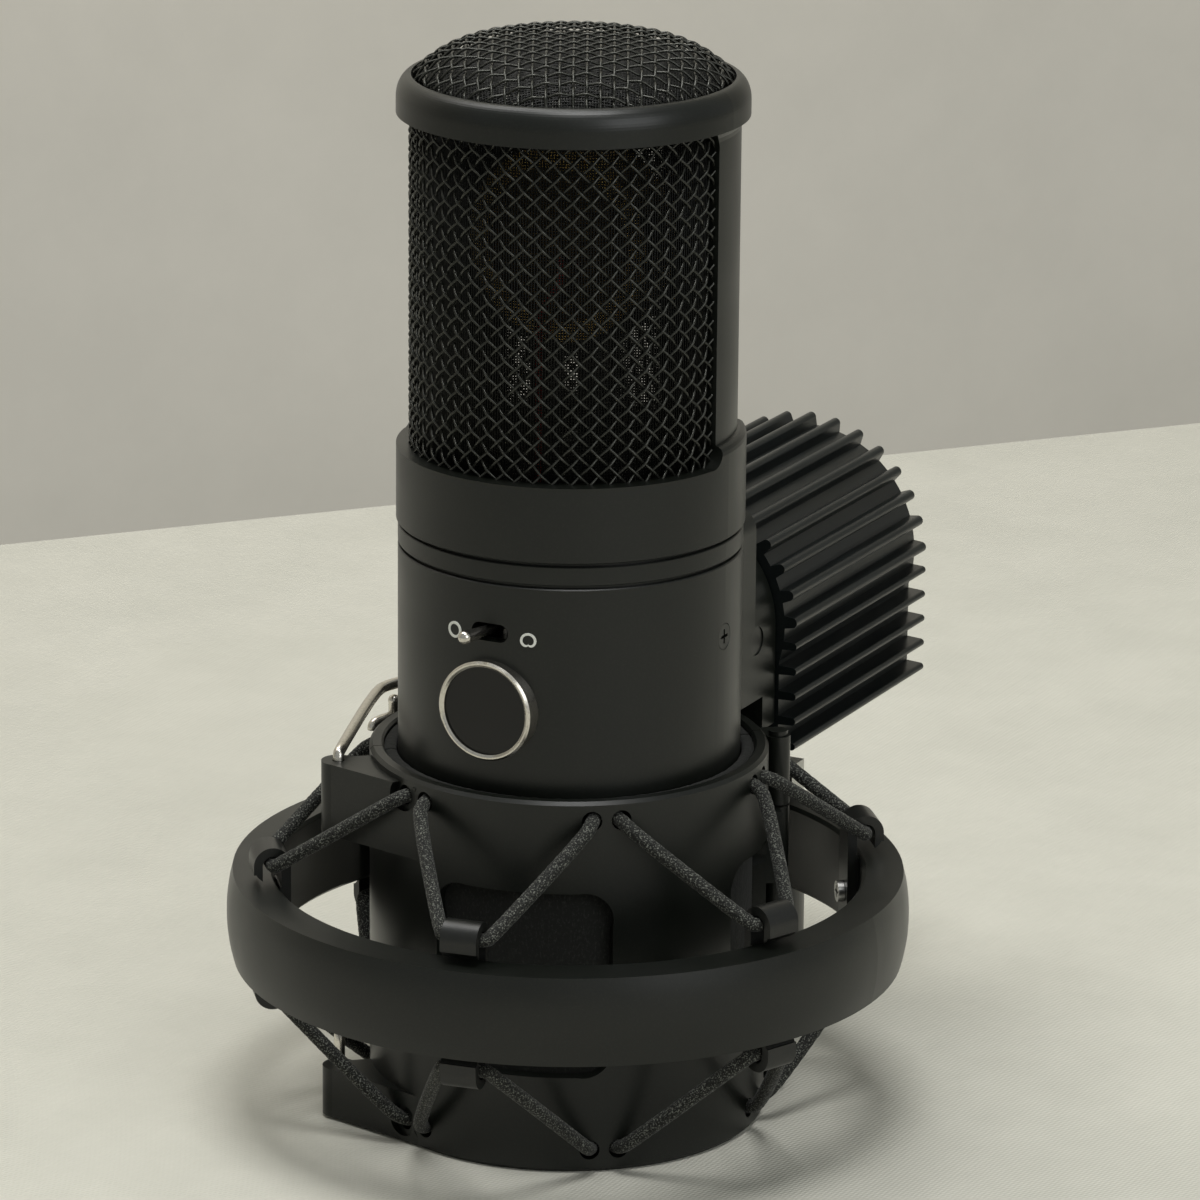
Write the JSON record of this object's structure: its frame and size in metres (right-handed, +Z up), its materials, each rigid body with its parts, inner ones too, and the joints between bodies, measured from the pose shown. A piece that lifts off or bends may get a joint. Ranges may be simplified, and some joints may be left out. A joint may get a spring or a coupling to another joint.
{
  "type": "tube condenser microphone",
  "caption": "Side-address tube condenser microphone with a wire-mesh head, round badge, pattern switch and finned rear cooler, standing in an elastic ring shock mount with stand swivel.",
  "frame": {"origin": "centre of the cradle's foot on the table, on the microphone's axis", "axes": "+Z up along the microphone's axis, -Y towards the badge and switch, +Y towards the finned cooler, +X to the right seen from the front"},
  "size_m": [0.1204, 0.1582, 0.1931],
  "materials": {
    "satin_black": "satin black anodised or painted",
    "sink_black": "satin blue-black anodised",
    "mesh_black": "black plated woven wire",
    "black_plastic": "satin",
    "gloss_black": "gloss",
    "felt": "dense felt",
    "cord": "woven sleeve over rubber",
    "nickel": "bright nickel",
    "steel": "plain",
    "gold": "gold plated",
    "brass": "machined",
    "copper": "machined copper",
    "aluminium": "plain",
    "board": "glass epoxy board",
    "ceramic": "glazed ceramic",
    "glass": "clear",
    "white_ink": "printed white",
    "red_insulation": "satin"
  },
  "bodies": {
    "cradle": {"rear_shell": "satin_black", "rear_liner": "felt", "hinge_pin": "satin_black", "upper_cord": "cord", "lower_cord": "cord"},
    "door": {"front_shell": "satin_black", "front_liner": "felt"},
    "bail": {"link_bail": "nickel"},
    "latch": {"latch_lever": "nickel"},
    "ring": {"outer_ring": "satin_black", "clip_1": "black_plastic", "clip_2": "black_plastic", "clip_3": "black_plastic", "clip_4": "black_plastic", "clip_5": "black_plastic", "clip_6": "black_plastic", "ring_screws": "steel", "stand_lug": "steel"},
    "stand": {"stand_block": "satin_black", "thread_bush": "brass"},
    "knob": {"clamp_knob": "black_plastic", "swivel_bolt": "steel"},
    "lever": {"switch_lever": "nickel"},
    "mic": {"body_tube": "satin_black", "base_plate": "satin_black", "connector_shell": "nickel", "connector_insert": "black_plastic", "connector_pins": "gold", "chassis": "aluminium", "transformer": "steel", "circuit_board": "board", "tube_socket": "ceramic", "vacuum_tube": "glass", "heat_bridge": "copper", "switch_body": "black_plastic", "pattern_marks": "white_ink", "badge_rim": "nickel", "badge_face": "gloss_black", "side_screws": "satin_black", "middle_ring": "satin_black", "head_deck": "black_plastic", "head_frame": "satin_black", "front_mesh": "mesh_black", "rear_mesh": "mesh_black", "dome_mesh": "mesh_black", "inner_mesh": "mesh_black", "capsule_post": "black_plastic", "capsule_body": "brass", "front_rim": "gold", "rear_rim": "gold", "front_diaphragm": "gold", "rear_diaphragm": "gold", "rim_screws": "brass", "red_lead": "red_insulation", "bracket": "satin_black", "bracket_plugs": "black_plastic", "heat_sink": "sink_black", "sink_studs": "steel"}
  },
  "joints": [
    {"name": "mic_lift", "type": "slide", "parent": "cradle", "child": "mic", "axis": [0, 0, 1], "range_m": [0, 0.075]},
    {"name": "pattern_lever", "type": "hinge", "parent": "mic", "child": "lever", "pos_m": [0, -0.0236, 0.0952], "axis": [0, 0, 1], "range_deg": [0, 23]},
    {"name": "latch_swing", "type": "hinge", "parent": "cradle", "child": "latch", "pos_m": [-0.0387, 0.00682, 0.06], "axis": [0, 0, 1], "range_deg": [0, 40]},
    {"name": "door_hinge", "type": "hinge", "parent": "cradle", "child": "door", "pos_m": [0.02955, 0.02309, 0.034], "axis": [0, 0, 1], "range_deg": [0, 2], "deforming": ["upper_cord", "lower_cord"]},
    {"name": "bail_swing", "type": "hinge", "parent": "door", "child": "bail", "pos_m": [-0.03223, -0.02518, 0.06], "axis": [0, 0, 1], "range_deg": [0, 5]},
    {"name": "ring_float", "type": "slide", "parent": "cradle", "child": "ring", "axis": [0, 0, 1], "range_m": [-0.0025, 0.0025], "stiffness_N_per_m": 4000, "springref_m": 0.0007, "deforming": ["upper_cord", "lower_cord"]},
    {"name": "stand_swivel", "type": "hinge", "parent": "ring", "child": "stand", "pos_m": [0, 0.074, 0.031], "axis": [1, 0, 0], "range_deg": [0, 95]},
    {"name": "knob_turn", "type": "hinge", "parent": "ring", "child": "knob", "pos_m": [-0.018, 0.074, 0.031], "axis": [1, 0, 0], "continuous": true}
  ],
  "couplings": [
    {"joint": "door_hinge", "follows": "latch_swing", "ratio": 0.05},
    {"joint": "bail_swing", "follows": "latch_swing", "ratio": 0.125}
  ]
}
